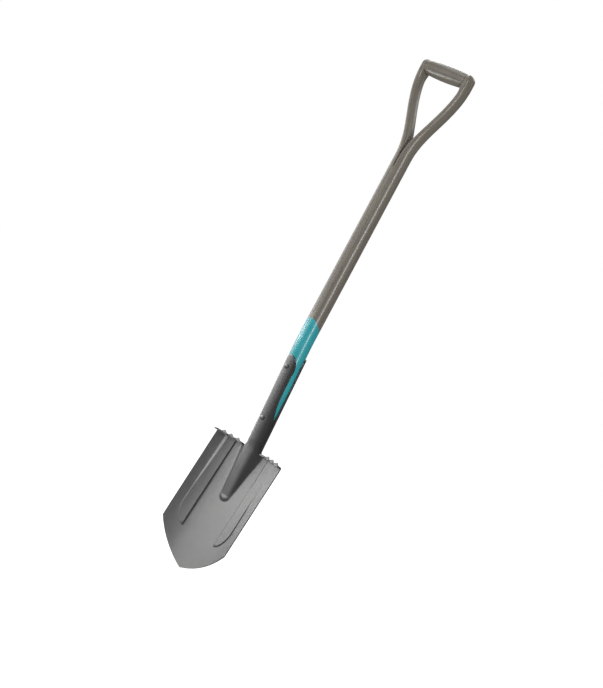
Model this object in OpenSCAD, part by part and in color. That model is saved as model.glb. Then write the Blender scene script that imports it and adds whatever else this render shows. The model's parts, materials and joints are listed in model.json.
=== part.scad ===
// Garden spade: pressed steel blade with two riveted straps, ash shaft with a wooden D-grip.
// Frame: +Z up along the upper shaft, X across the blade, the hollow face looks towards -Y.
// The origin is at the height of the blade's tip, in the middle of the spade's width and near
// the middle of its depth, a little behind the upper shaft's axis.
// The modules are drawn around the upper shaft's axis, and placed() moves them into that frame.

/* [Blade] */
// Width across the blade's parallel sides
blade_w = 190; // [170:5:210]
// Height of the tread's upper face above the tip
tread_z = 284; // [265:1:300]
// Height at which the parallel sides turn into the point
shoulder_z = 73; // [60:1:85]
// Radius of the two arcs that form the point
point_r = 180; // [150:5:300]
// Radius of the blade's hollow
hollow_r = 215; // [200:5:300]
// Thickness of the sheet that the blade and both straps are pressed from
sheet_t = 2.5; // [2:0.1:2.8]
// Forward lean of the blade from the upper shaft's line
blade_lean = 8.1; // [7.5:0.1:8.5]
// Distance of the blade's centre line behind the upper shaft's line, at the tread
blade_y = 25; // [24:0.5:26]

/* [Pressed ribs and frog] */
// Distance from the middle to a rib's inner edge
rib_in = 46.5; // [44:0.5:50]
// Distance from the middle to a rib's outer edge
rib_out = 75; // [70:0.5:78]
// Height of a rib above the blade
rib_h = 2.6; // [1.5:0.1:3.5]
// Height at which a rib's outer edge starts to curve in
rib_turn_z = 116; // [105:1:130]
// Height of a rib's lower tip
rib_tip_z = 76; // [74:1:90]
// Half width of the frog, the raised middle that holds the shaft's end, at the tread
frog_w = 33; // [30:0.5:34]
// Half width of the frog where its rounded end starts
frog_end_w = 15.5; // [13:0.5:18]
// Height at which the frog's rounded end starts
frog_end_z = 173; // [165:1:190]
// How far the frog's crest stands in front of the blade at its rounded end
frog_end_h = 3.6; // [2.5:0.1:5]

/* [Treads] */
// Depth of the foot treads, folded forward from the blade's top edge
tread_depth = 15; // [13:1:18]
// Distance from the middle to a tread's inner end
tread_in = 25; // [23.5:0.5:28]
// Radius on the tread's front corners
tread_corner_r = 4; // [2:0.5:6]
// Number of grip teeth on each tread
teeth = 3; // [2:1:3]
// Distance between the teeth
tooth_pitch = 16.5; // [14:0.5:17]
// Height of a tooth at its back end
tooth_h = 4; // [2:0.5:5]

/* [Socket and straps] */
// Outer diameter of the socket at the tread
socket_od = 38; // [37:0.5:39]
// Outer diameter of the straps at their top
strap_od = 41.8; // [41.6:0.1:43]
// Height of the straps' top
strap_top_z = 497; // [480:1:505]
// Half angle of the front strap, measured from its middle
strap_half_angle = 53; // [48:1:58]
// Height of the notch's lowest point, between the straps
notch_z = 355; // [340:1:365]
// Length of the front strap's rounded tip
strap_tip_l = 28; // [20:1:34]
// Height of the upper rivet
rivet_upper_z = 471; // [455:1:475]
// Height of the lower rivet
rivet_lower_z = 354; // [320:1:356]
// Diameter of the rivets' shanks
rivet_d = 6; // [5:0.5:7]
// Diameter of the rivets' heads
rivet_head_d = 10.5; // [9:0.5:12]

/* [Rear strap's spoon] */
// Half width of the spoon, the rear strap's flared end on the blade's back, at the tread
spoon_w = 37; // [35:0.5:40]
// Half width of the spoon where its rounded end starts
spoon_end_w = 22; // [20:0.5:25]
// Height at which the spoon's rounded end starts
spoon_end_z = 175; // [172:1:190]
// Width of the spoon's flat lip beside its bulge
spoon_lip = 6; // [4:0.5:8]
// Leg length of the fillet weld around the spoon
lip_weld_leg = 3; // [2:0.5:4]

/* [Shaft] */
// Length of the whole spade
overall_l = 1170; // [1150:5:1250]
// Diameter of the round shaft
shaft_d = 36; // [35.8:0.1:36.2]
// Height of the bend in the shaft
bend_z = 525; // [522:1:535]
// Angle by which the shaft bends backward below the bend
bend_angle = 4.6; // [4.2:0.1:5]
// Radius of the bend
bend_r = 600; // [500:10:610]
// Height of the shaft's lower end, inside the frog
shaft_end_z = 268; // [266:1:275]
// Radius of the shaft's lower end
shaft_end_r = 10.5; // [8:0.5:10.5]

/* [D-grip] */
// Height of the saw cut's lower end, where the shaft splits into two limbs
split_z = 933; // [900:1:940]
// Width of the saw cut
kerf = 2.6; // [2:0.2:3.2]
// Distance from the grip's middle to a limb's centre, at the top
limb_x = 57.5; // [54:0.5:60]
// Thickness of a limb from side to side
limb_t = 16.5; // [15:0.5:18]
// Depth of a limb from front to back
limb_depth = 31; // [29:0.5:32]
// Diameter of the crosspiece in its middle
cross_d = 37; // [34:0.5:38]
// Diameter of the crosspiece at its ends
cross_end_d = 31.5; // [29:0.5:32]
// Depth of the seat in a limb that takes the crosspiece's end
cross_seat = 2; // [1.5:0.1:2.4]
// Diameter of the hidden dowels that hold the crosspiece
dowel_d = 10; // [8:0.5:10]
// Length of a dowel
dowel_l = 46; // [40:1:50]

/* [Hidden] */

$fn = 96;
steel = [0.24, 0.25, 0.25];
bare_steel = [0.55, 0.56, 0.57];
ash = [0.42, 0.39, 0.35];
dowel_wood = [0.75, 0.62, 0.45];

axis_y = -8.5;                 // the upper shaft's axis, seen from the origin
half_w = blade_w / 2;
top_row_z = tread_z - 0.7;     // the sheet's top row lies just inside the tread's thickness
wood_gap = 0.1;                // clearance between the wood and the steel around it
weld_gap = 0.1;                // clearance between the rear strap and the blade
crest_y = 0.8;                 // the frog's crest at the tread, in line with the socket's front
frog_end_cap = 14;             // length of the frog's rounded end
rib_flank = 2.6;               // width of a rib's sloping side

// ---- Small functions ----
function smooth(t) = let (c = min(max(t, 0), 1)) c * c * (3 - 2 * c);
function blend(a, b, t) = a + (b - a) * t;

// ---- The blade's front surface, as y over x and z ----
// Centre line of the plain hollow sheet
function centre_y(z) = blade_y - (tread_z - z) * tan(blade_lean);
// The plain hollow sheet without anything pressed into it
function plain_y(x, z) = centre_y(z) - (hollow_r - sqrt(hollow_r * hollow_r - x * x));

// Half width of the frog: straight sides, then it stays as wide as its rounded end
function frog_half(z) =
    blend(frog_end_w, frog_w, max(z - frog_end_z, 0) / (tread_z - frog_end_z));
// Height of the frog's crest above the plain sheet
function crest_h(z) =
    let (top_h = blade_y - crest_y)
    blend(frog_end_h, top_h, max(z - frog_end_z, 0) / (tread_z - frog_end_z));
// Relative distance from the frog's crest, which is 1 on its foot line
function frog_ratio(x, z) =
    norm([x / frog_half(z), max(frog_end_z - z, 0) / frog_end_cap]);
// Bell-shaped section of the frog
function bell(ratio) = ratio >= 1 ? 0 : pow(cos(90 * pow(ratio, 1.15)), 2);
function frog_h(x, z) = crest_h(z) * bell(frog_ratio(x, z));

// Outer edge of a rib: straight, then an elliptical quarter down to its tip
function rib_edge(z) =
    let (t = min(max((rib_turn_z - z) / (rib_turn_z - rib_tip_z), 0), 1))
    blend(rib_in + 2 * rib_flank, rib_out, sqrt(1 - t * t));
function rib_h_at(x, z) =
    let (from_in = (abs(x) - rib_in) / rib_flank,
         from_out = (rib_edge(z) - abs(x)) / rib_flank,
         from_tip = (z - rib_tip_z) / (2 * rib_flank))
    rib_h * smooth(min(from_in, from_out)) * smooth(from_tip + 0.5);

function front_y(x, z) = plain_y(x, z) - frog_h(x, z) - rib_h_at(x, z);

// ---- The blade's outline ----
point_chord = norm([half_w, shoulder_z]);
point_rise = sqrt(point_r * point_r - point_chord * point_chord / 4);
point_cx = half_w / 2 - point_rise * shoulder_z / point_chord;
point_cz = shoulder_z / 2 + point_rise * half_w / point_chord;
function half_width(z) =
    z >= shoulder_z ? half_w
    : point_cx + sqrt(max(point_r * point_r - (z - point_cz) * (z - point_cz), 0));

// ---- A sheet between two point grids with the same number of rows and columns ----
module shell(front, back) {
    rows = len(front);
    cols = len(front[0]);
    count = rows * cols;
    points = concat([for (row = front) each row], [for (row = back) each row]);
    function at(i, j) = i * cols + j;
    face_front = [for (i = [0:rows - 2], j = [0:cols - 2])
        each [[at(i, j), at(i, j + 1), at(i + 1, j)],
              [at(i, j + 1), at(i + 1, j + 1), at(i + 1, j)]]];
    face_back = [for (f = face_front) [f[0] + count, f[2] + count, f[1] + count]];
    rim = concat(
        [for (j = [0:1:cols - 1]) at(0, j)],
        [for (i = [1:1:rows - 1]) at(i, cols - 1)],
        [for (j = [cols - 2:-1:0]) at(rows - 1, j)],
        [for (i = [rows - 2:-1:1]) at(i, 0)]);
    face_rim = [for (k = [0:len(rim) - 1])
        let (a = rim[k], b = rim[(k + 1) % len(rim)])
        each [[a, a + count, b], [b, a + count, b + count]]];
    polyhedron(points, concat(face_front, face_back, face_rim), convexity = 10);
}

// ---- Blade sheet ----
tip_half_w = 1.2;              // the very tip is blunt by this half width
frog_cols = 7;
gap_cols = 3;
rib_cols = 4;
side_cols = 3;

function steps(a, b, n) = [for (k = [1:n]) blend(a, b, k / n)];
// Column places to the right of the middle line, on the row at height z
function right_columns(z) =
    let (w = half_width(z), k = w / half_w, edge = rib_edge(z))
    concat([0],
        steps(0, frog_half(z) * k, frog_cols),
        steps(frog_half(z) * k, rib_in * k, gap_cols),
        steps(rib_in * k, (rib_in + rib_flank) * k, 1),
        steps((rib_in + rib_flank) * k, (edge - rib_flank) * k + 0.01, rib_cols),
        steps((edge - rib_flank) * k + 0.01, edge * k + 0.01, 1),
        steps(edge * k + 0.01, w, side_cols));
function columns(z) =
    let (right = right_columns(z), n = len(right))
    concat([for (j = [n - 1:-1:1]) -right[j]], right);

// Row heights, closer together at the rib tips, the frog's end and the point
sheet_rows = concat(
    [for (k = [0:15]) blend(top_row_z, frog_end_z, k / 15)],
    [for (k = [1:7]) frog_end_z - frog_end_cap * sin(90 * k / 7) - 0.02 * k],
    [for (k = [1:6]) blend(frog_end_z - frog_end_cap - 0.2, rib_turn_z, k / 6)],
    [for (k = [1:8]) blend(rib_turn_z, shoulder_z, sin(90 * k / 8))],
    [for (k = [1:12]) shoulder_z * (1 - k / 13) * (1 - 0.25 * k / 13)]);

normal_step = 0.2;
function sheet_normal(x, z) =
    let (dx = front_y(x + normal_step, z) - front_y(x - normal_step, z),
         dz = front_y(x, z + normal_step) - front_y(x, z - normal_step),
         n = [-dx, 2 * normal_step, -dz])
    n / norm(n);
function sheet_point(x, z, depth) =
    [x, front_y(x, z), z] + depth * sheet_normal(x, z);

module blade_sheet() {
    tip_row = [for (x = columns(0.6)) [x * tip_half_w / half_width(0.6), 0]];
    front = concat(
        [for (z = sheet_rows) [for (x = columns(z)) [x, front_y(x, z), z]]],
        [[for (p = tip_row) [p[0], front_y(p[0], 0), 0]]]);
    back = concat(
        [for (z = sheet_rows) [for (x = columns(z))
            let (p = sheet_point(x, z, sheet_t)) [x, p[1], z == top_row_z ? z : p[2]]]],
        [[for (p = tip_row) [p[0], front_y(p[0], 0) + sheet_t, 0]]]);
    shell(front, back);
}

// ---- Socket frame: its axis follows the bent lower shaft ----
module in_socket() {
    translate([0, 0, bend_z]) rotate([bend_angle, 0, 0]) children();
}
// Distance along the socket's axis, below the bend, of a height in the spade's frame
function along(z) = (z - bend_z) / cos(bend_angle);
function socket_r(s) =
    blend(socket_od, strap_od, (s - along(tread_z)) / (along(strap_top_z) - along(tread_z))) / 2;

// Part of the tapered tube, from half an angle either side of a direction
module tube_part(direction, half_angle, s_low, s_high) {
    rotate([0, 0, direction - half_angle])
        rotate_extrude(angle = 2 * half_angle)
            polygon([[socket_r(s_low) - sheet_t, s_low], [socket_r(s_low), s_low],
                     [socket_r(s_high), s_high], [socket_r(s_high) - sheet_t, s_high]]);
}

// Removes what lies behind the front strap's side edges, down to the notch
module notch_cutter() {
    edge_y = -strap_od / 2 * cos(strap_half_angle);
    notch_low = along(notch_z);
    notch_rise = 46;
    reach = 60;
    curve = [for (a = [0:7.5:90]) [edge_y * sin(a), notch_low + notch_rise * (1 - cos(a))]];
    rotate([90, 0, 90])
        linear_extrude(height = 2 * reach, center = true)
            polygon(concat([[reach, notch_low]], curve, [[edge_y, reach], [reach, reach]]));
}

// Outline of the front strap's rounded tip, which keeps what lies inside
module tip_keeper() {
    tip_half = strap_od / 2 * sin(strap_half_angle) + 0.4;
    tip_low = along(strap_top_z) - strap_tip_l;
    reach = 60;
    arch = [for (a = [0:6:180]) [tip_half * cos(a), tip_low + strap_tip_l * sin(a)]];
    rotate([90, 0, 0])
        linear_extrude(height = 2 * reach, center = true)
            polygon(concat([[-reach, along(0)], [reach, along(0)], [reach, tip_low - 2]],
                           arch, [[-reach, tip_low - 2]]));
}

front_low_z = 271;             // the front half tube ends here, behind the frog's surface
seam_half_angle = 87.5;        // half angle of the front half tube below the notch

module front_strap() {
    in_socket() intersection() {
        difference() {
            tube_part(270, seam_half_angle, along(front_low_z), along(strap_top_z));
            notch_cutter();
        }
        tip_keeper();
    }
}

// ---- Treads ----
// Plan outline of the right tread, from inside the sheet forward
function arc_y(x, forward) = plain_y(x, tread_z) + sheet_t / 2 - forward;
module tread() {
    columns_x = [for (k = [0:8]) blend(tread_in, half_w, k / 8)];
    forward = tread_depth + sheet_t / 2;
    corner_x = half_w - tread_corner_r;
    inner_x = tread_in + tread_corner_r;
    outer = [for (a = [0:15:90])
        [corner_x + tread_corner_r * cos(a),
         arc_y(corner_x, forward) + tread_corner_r * (1 - sin(a))]];
    inner = [for (a = [0:15:90])
        [inner_x - tread_corner_r * sin(a),
         arc_y(inner_x, forward) + tread_corner_r * (1 - cos(a))]];
    front = [for (k = [7:-1:2]) [columns_x[k], arc_y(columns_x[k], forward)]];
    back = [for (x = columns_x) [x, arc_y(x, 0)]];
    translate([0, 0, tread_z - sheet_t])
        linear_extrude(height = sheet_t)
            polygon(concat(back, outer, front, inner));
}

// One tooth: a wedge pressed up from the tread, rising towards the blade
module tooth(x) {
    half = 5;
    sunk = 1.2;
    low = 0.6;
    back_y = arc_y(x, 2.2);
    front_y = arc_y(x, tread_depth - 0.8);
    z = tread_z;
    polyhedron(
        [[x - half, front_y, z - sunk], [x + half, front_y, z - sunk],
         [x + half, back_y, z - sunk], [x - half, back_y, z - sunk],
         [x, front_y, z + low], [x, back_y, z + tooth_h]],
        [[0, 1, 2, 3], [0, 4, 1], [2, 5, 3], [1, 4, 2], [4, 5, 2], [3, 5, 0], [5, 4, 0]]);
}
first_tooth_x = 45;

// ---- Rivets ----
module rivet_hole(z, d) {
    in_socket() translate([0, 0, along(z)]) rotate([90, 0, 0])
        cylinder(d = d, h = 80, center = true);
}
// A rivet set through both straps and the shaft, with two domed heads
module socket_rivet(z) {
    seat = socket_r(along(z));
    head_h = 2.6;
    sphere_r = (pow(rivet_head_d / 2, 2) + head_h * head_h) / (2 * head_h);
    in_socket() translate([0, 0, along(z)]) {
        rotate([90, 0, 0])
            cylinder(d = rivet_d - 2 * wood_gap, h = 2 * seat + head_h, center = true);
        for (side = [-90, 90]) rotate([side, 0, 0])
            intersection() {
                translate([0, 0, seat + head_h - sphere_r]) sphere(r = sphere_r);
                translate([0, 0, seat + 0.05]) cylinder(r = rivet_head_d, h = 20);
            }
    }
}

// ---- Rear strap ----
seam_gap_angle = 0.5;          // gap between the front and the rear half tube
flare_high_z = 297;            // above this height the rear strap is a plain half tube
flare_low_z = 285;             // below this height it is the spoon on the blade's back
tube_low_z = 300;              // the exact half tube's lower end
spoon_cap = 17;                // length of the spoon's rounded end
spoon_cols = 20;

function socket_y(z) = (bend_z - z) * tan(bend_angle);
function spoon_half(z) =
    z > spoon_end_z
        ? blend(spoon_end_w, spoon_w, (z - spoon_end_z) / (tread_z - spoon_end_z))
        : spoon_end_w * sqrt(max(1 - pow((spoon_end_z - z) / spoon_cap, 2), 0.002));
function back_plain_y(x, z) = plain_y(x, z) + sheet_t / pow(cos(blade_lean), 2) + weld_gap;
// Height of the spoon's bulge over the shaft's end
function bulge(z) =
    let (inner = socket_y(tread_z) + socket_r(along(tread_z)) - sheet_t,
         top_h = inner - back_plain_y(0, tread_z),
         t = (z - spoon_end_z) / (tread_z - spoon_end_z))
    top_h * max(t, 0);
// The rear strap's surface at a relative place from -1 to 1 across, offset outward
function rear_point(u, z, offset) =
    let (half_angle = 180 - seam_half_angle - seam_gap_angle,
         r = socket_r(along(z)) - sheet_t + offset,
         tube = [r * sin(half_angle * u), socket_y(z) + r * cos(half_angle * u)],
         x = spoon_half(z) * u,
         rise = bulge(z) * bell(abs(x) / max(spoon_half(z) - spoon_lip, 0.1)),
         spoon = [x, back_plain_y(x, z) + rise + offset],
         k = smooth((flare_high_z - z) / (flare_high_z - flare_low_z)))
    [blend(tube[0], spoon[0], k), blend(tube[1], spoon[1], k), z];
spoon_rows = concat(
    [tube_low_z + 5, tube_low_z + 1, tube_low_z - 1],
    [for (k = [0:8]) blend(flare_high_z, flare_low_z, k / 8)],
    [for (k = [1:12]) blend(flare_low_z, spoon_end_z, k / 12)],
    [for (k = [1:6]) spoon_end_z - spoon_cap * sin(15 * k) + 0.1]);

module spoon() {
    // The rows inside the exact half tube are a little thinner than its wall
    function inset(z) = z > tube_low_z ? 0.3 : 0;
    function row(z, offset) =
        [for (j = [0:spoon_cols]) rear_point(2 * j / spoon_cols - 1, z, offset)];
    shell([for (z = spoon_rows) row(z, inset(z))],
          [for (z = spoon_rows) row(z, sheet_t - inset(z))]);
}

// ---- Welds ----
// Path along the spoon's edge: down one side, round its end and up the other side
lip_path = concat(
    [for (k = [0:10]) let (z = blend(flare_low_z - 2, spoon_end_z, k / 10)) [spoon_half(z), z]],
    [for (a = [10:10:170])
        [spoon_end_w * cos(a), spoon_end_z - spoon_cap * sin(a)]],
    [for (k = [0:10]) let (z = blend(spoon_end_z, flare_low_z - 2, k / 10)) [-spoon_half(z), z]]);
module lip_bead() {
    n = len(lip_path);
    function outward(i) =
        let (d = lip_path[min(i + 1, n - 1)] - lip_path[max(i - 1, 0)])
        [-d[1], d[0]] / norm(d);
    function corner(i, out, up) =
        let (p = lip_path[i] + out * outward(i))
        [p[0], back_plain_y(p[0], p[1]) - weld_gap / 2 + up, p[1]];
    section = [[weld_gap, 0], [lip_weld_leg, 0], [0.62 * lip_weld_leg, 0.62 * sheet_t],
               [weld_gap, sheet_t]];
    m = len(section);
    points = [for (i = [0:n - 1], c = section) corner(i, c[0], c[1])];
    sides = [for (i = [0:n - 2], j = [0:m - 1])
        let (a = i * m + j, b = i * m + (j + 1) % m)
        each [[a, b, a + m], [b, b + m, a + m]]];
    ends = [[3, 2, 1], [3, 1, 0],
            [(n - 1) * m, (n - 1) * m + 1, (n - 1) * m + 2],
            [(n - 1) * m, (n - 1) * m + 2, (n - 1) * m + 3]];
    polyhedron(points, concat(sides, ends), convexity = 6);
}

// A bead along the seam between the two half tubes, on the outside of the socket
module seam_bead() {
    bead_r = 1.9;
    bead_out = 0.5;
    s_low = along(302);
    s_high = along(notch_z - 3);
    slope = atan((socket_r(s_high) - socket_r(s_low)) / (s_high - s_low));
    angle = seam_half_angle + seam_gap_angle / 2 - 90;
    in_socket() difference() {
        rotate([0, 0, angle]) translate([socket_r(s_low) + bead_out, 0, s_low])
            rotate([0, slope, 0]) cylinder(r = bead_r, h = (s_high - s_low) / cos(slope));
        rotate_extrude() polygon([
            [0, s_low - 5], [socket_r(s_low - 5) + weld_gap / 2, s_low - 5],
            [socket_r(s_high + 5) + weld_gap / 2, s_high + 5], [0, s_high + 5]]);
    }
}

// ---- Shaft ----
bend_l = bend_r * tan(bend_angle / 2);         // length of the bend either side of its middle
limb_low_z = split_z + 2;      // the limbs' lower end, inside the round shaft
round_top_z = split_z + 8;     // the round shaft's upper end
spread_low_z = 958;            // height at which the limbs start to spread
spread_high_z = 1140;          // height at which they run parallel again
oval_z = 1060;                 // height at which a limb's section has become oval
cross_z = overall_l - cross_d / 2;
cap_r = cross_end_d / 2;       // radius of a limb's rounded top, seen from the side
limb_points = 24;
wood_taper_z = 300;            // below this height the shaft's end tapers quickly

// The bend: a stretch of torus from the upright shaft to the leaning one. It is a little
// thinner than they are, and both its ends reach into them.
module bend() {
    reach = 0.4;
    inset = 0.35;
    translate([0, bend_r, bend_z + bend_l]) rotate([-90, 0, 0]) rotate([0, 90, 0])
        rotate([0, 0, -reach]) rotate_extrude(angle = bend_angle + 2 * reach)
            translate([bend_r, 0]) circle(d = shaft_d - 2 * inset);
}
// The leaning stretch inside the socket
module shaft_foot() {
    function wood_r(z) = socket_r(along(z)) - sheet_t - wood_gap;
    seat_z = strap_top_z - 4;
    in_socket() rotate_extrude() polygon([
        [0, along(shaft_end_z)], [shaft_end_r - 2, along(shaft_end_z)],
        [shaft_end_r, along(shaft_end_z + 2)], [wood_r(wood_taper_z), along(wood_taper_z)],
        [wood_r(seat_z), along(seat_z)], [shaft_d / 2, -bend_l], [0, -bend_l]]);
}
// The upright round stretch
module round_shaft() {
    translate([0, 0, bend_z + bend_l])
        cylinder(d = shaft_d, h = round_top_z - bend_z - bend_l);
}

// Distance of a limb's centre line from the middle: a smooth double curve
function limb_centre(z) =
    let (t = min(max((z - spread_low_z) / (spread_high_z - spread_low_z), 0), 1))
    blend(shaft_d / 4 + kerf / 4, limb_x, (1 - cos(180 * t)) / 2);
function limb_slope(z) =
    let (step = 0.5) (limb_centre(z + step) - limb_centre(z - step)) / (2 * step);
// One ring of a limb: half of the round shaft low down, an oval higher up. Its top is rounded
// over on the outer side, and its inner face stays upright for the crosspiece.
function limb_ring(z) =
    let (k = smooth((z - round_top_z) / (oval_z - round_top_z)),
         inset = 0.35 * smooth((spread_low_z - z) / (spread_low_z - round_top_z)),
         r = shaft_d / 2 - inset,
         centre = limb_centre(z),
         spread = centre - limb_centre(limb_low_z),
         stretch = sqrt(1 + pow(limb_slope(z), 2)),
         cap = z > cross_z ? sqrt(max(1 - pow((z - cross_z) / cap_r, 2), 0)) : 1,
         depth = blend(limb_depth / 2, cap_r, smooth((z - 1120) / (cross_z - 1120))))
    [for (i = [0:limb_points - 1])
        let (a = 360 * i / limb_points,
             half_round = [max(r * cos(a), kerf / 2 + 0.05) + spread, r * sin(a)],
             oval = [centre + limb_t / 2 * stretch * (cap * (1 + cos(a)) - 1),
                     depth * cap * sin(a)])
        [blend(half_round[0], oval[0], k), blend(half_round[1], oval[1], k), z]];
limb_rows = concat(
    [limb_low_z, round_top_z - 0.2, round_top_z + 0.2],
    [for (k = [1:3]) blend(round_top_z, spread_low_z, k / 3)],
    [for (k = [1:14]) blend(spread_low_z, spread_high_z, k / 14)],
    [for (a = [0:12:84]) cross_z + cap_r * sin(a)]);
module limb() {
    n = limb_points;
    rows = len(limb_rows);
    points = [for (z = limb_rows) each limb_ring(z)];
    sides = [for (i = [0:rows - 2], j = [0:n - 1])
        let (a = i * n + j, b = i * n + (j + 1) % n)
        each [[a, a + n, b], [b, a + n, b + n]]];
    bottom = [for (j = [1:n - 2]) [0, j, j + 1]];
    top = [for (j = [1:n - 2]) let (o = (rows - 1) * n) [o, o + j + 1, o + j]];
    polyhedron(points, concat(sides, bottom, top), convexity = 6);
}

// ---- Grip ----
seat_x = limb_x - limb_t / 2 + cross_seat;     // half length of the crosspiece
dowel_out = seat_x + dowel_l / 2 - 13;         // outer end of a dowel
module dowel_holes() {
    for (side = [0, 1]) mirror([side, 0, 0])
        translate([dowel_out - dowel_l - wood_gap, 0, cross_z]) rotate([0, 90, 0])
            cylinder(d = dowel_d + 2 * wood_gap, h = dowel_l + 2 * wood_gap);
}
module grip_dowel() {
    color(dowel_wood) translate([dowel_out - dowel_l, 0, cross_z]) rotate([0, 90, 0])
        cylinder(d = dowel_d, h = dowel_l);
}

// ---- The nodes ----
module placed() {
    translate([0, axis_y, 0]) children();
}

module blade() {
    placed() color(steel) difference() {
        union() {
            blade_sheet();
            front_strap();
            for (side = [0, 1]) mirror([side, 0, 0]) {
                tread();
                for (k = [0:teeth - 1]) tooth(first_tooth_x + k * tooth_pitch);
            }
        }
        rivet_hole(rivet_upper_z, rivet_d);
        rivet_hole(rivet_lower_z, rivet_d);
    }
}

module rear_strap() {
    half_angle = 180 - seam_half_angle - seam_gap_angle;
    placed() color(steel) difference() {
        union() {
            in_socket() tube_part(90, half_angle, along(tube_low_z), along(strap_top_z));
            spoon();
        }
        rivet_hole(rivet_upper_z, rivet_d);
        rivet_hole(rivet_lower_z, rivet_d);
    }
}

module seam_welds() {
    placed() color(steel) for (side = [0, 1]) mirror([side, 0, 0]) seam_bead();
}

module lip_weld() {
    placed() color(steel) lip_bead();
}

module shaft() {
    placed() color(ash) difference() {
        union() {
            round_shaft();
            bend();
            shaft_foot();
            for (side = [0, 1]) mirror([side, 0, 0]) limb();
        }
        translate([0, 0, (split_z + round_top_z) / 2 + 1])
            cube([kerf, 2 * shaft_d, round_top_z - split_z + 2], center = true);
        translate([0, 0, cross_z]) rotate([0, 90, 0])
            cylinder(d = cross_end_d + 6 * wood_gap, h = 2 * seat_x + 2 * wood_gap, center = true);
        dowel_holes();
        rivet_hole(rivet_upper_z, rivet_d);
        rivet_hole(rivet_lower_z, rivet_d);
    }
}

module crosspiece() {
    barrel = [for (k = [-8:8])
        let (t = k / 8) [blend(cross_d, cross_end_d, t * t) / 2, t * seat_x]];
    placed() color(ash) difference() {
        translate([0, 0, cross_z]) rotate([0, 90, 0])
            rotate_extrude() polygon(concat([[0, -seat_x]], barrel, [[0, seat_x]]));
        dowel_holes();
    }
}

module socket_rivet_upper() {
    placed() color(bare_steel) socket_rivet(rivet_upper_z);
}

module socket_rivet_lower() {
    placed() color(bare_steel) socket_rivet(rivet_lower_z);
}

module grip_dowel_left() {
    placed() mirror([1, 0, 0]) grip_dowel();
}

module grip_dowel_right() {
    placed() grip_dowel();
}

blade();
rear_strap();
seam_welds();
lip_weld();
shaft();
crosspiece();
socket_rivet_upper();
socket_rivet_lower();
grip_dowel_left();
grip_dowel_right();
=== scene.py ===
import json
import math

import bmesh
import bpy
import numpy as np
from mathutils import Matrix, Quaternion, Vector
from mathutils.kdtree import KDTree


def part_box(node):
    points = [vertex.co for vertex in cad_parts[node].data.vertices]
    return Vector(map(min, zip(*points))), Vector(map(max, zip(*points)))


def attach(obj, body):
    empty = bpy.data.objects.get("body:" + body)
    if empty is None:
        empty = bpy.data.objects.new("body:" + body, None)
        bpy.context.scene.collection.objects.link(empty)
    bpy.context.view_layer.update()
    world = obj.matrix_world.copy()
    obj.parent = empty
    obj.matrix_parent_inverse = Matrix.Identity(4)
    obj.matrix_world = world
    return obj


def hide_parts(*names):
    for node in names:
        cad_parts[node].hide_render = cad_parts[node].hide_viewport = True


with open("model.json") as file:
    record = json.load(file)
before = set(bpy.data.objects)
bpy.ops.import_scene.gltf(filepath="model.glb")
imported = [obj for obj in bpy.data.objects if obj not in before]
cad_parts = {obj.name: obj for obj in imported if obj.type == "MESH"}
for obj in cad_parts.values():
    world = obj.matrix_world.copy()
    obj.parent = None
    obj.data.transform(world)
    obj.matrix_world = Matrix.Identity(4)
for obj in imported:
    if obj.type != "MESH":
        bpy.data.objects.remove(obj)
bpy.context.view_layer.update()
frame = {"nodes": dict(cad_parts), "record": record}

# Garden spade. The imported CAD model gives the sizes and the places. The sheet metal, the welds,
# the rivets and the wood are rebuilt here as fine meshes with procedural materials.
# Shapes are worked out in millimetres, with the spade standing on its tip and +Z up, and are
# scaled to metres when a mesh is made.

MM = 0.001


# ---------------------------------------------------------------------------------------------
# Sizes, in millimetres
# ---------------------------------------------------------------------------------------------


def node_box(node):
    low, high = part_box(node)
    return [v / MM for v in low], [v / MM for v in high]


def node_middle(node):
    low, high = node_box(node)
    return [(a + b) / 2 for a, b in zip(low, high)]


mounts = {m["name"]: m for m in frame["record"]["mounts"]}

# Taken from the frame
CROSS_LOW, CROSS_HIGH = node_box("crosspiece")
HALF_W = node_box("blade")[1][0] - 1.0      # the tilted side edges stay inside the frame's width
TREAD_Z = mounts["foot_tread_left"]["pos_m"][2] / MM
AXIS_Y = node_middle("crosspiece")[1]
CROSS_Z = node_middle("crosspiece")[2]
CROSS_R = (CROSS_HIGH[2] - CROSS_LOW[2]) / 2
SEAT_X = CROSS_HIGH[0]
RIVET_ZS = {n: node_middle(n)[2] for n in ("socket_rivet_upper", "socket_rivet_lower")}

# Blade
SHEET_T = 2.5
BLADE_LEAN = math.radians(8.1)
BLADE_Y = 25.0
SHOULDER_Z = 73.0
POINT_R = 180.0
HOLLOW_R = 215.0
TIP_HALF_W = 1.2
TIP_Z = 0.4

# Ribs and frog
RIB_IN = 46.5
RIB_OUT = 75.0
RIB_H = 2.2
RIB_TOP_H = 1.5
RIB_FLANK = 2.2
RIB_FLANK_TOP = 9.0
RIB_TURN_Z = 116.0
RIB_TIP_Z = 76.0
FROG_W = 33.0
FROG_FLARE = 3.0
FROG_FLARE_Z = 215.0
FROG_END_W = 15.5
FROG_END_Z = 173.0
FROG_END_H = 3.6
FROG_CAP = 14.0
FROG_END_FLAT = 2.2
FROG_TOP_FLAT = 1.35
CREST_Y = 0.8

# Treads
TREAD_IN = 25.0
TREAD_DEPTH = 15.0
TREAD_CORNER_R = 4.0
FOLD_R = 1.8
FIRST_TOOTH_X = 45.0
TOOTH_PITCH = 16.5
TOOTH_HALF = 5.0
TOOTH_H = 4.0
TEETH = 3

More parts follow.
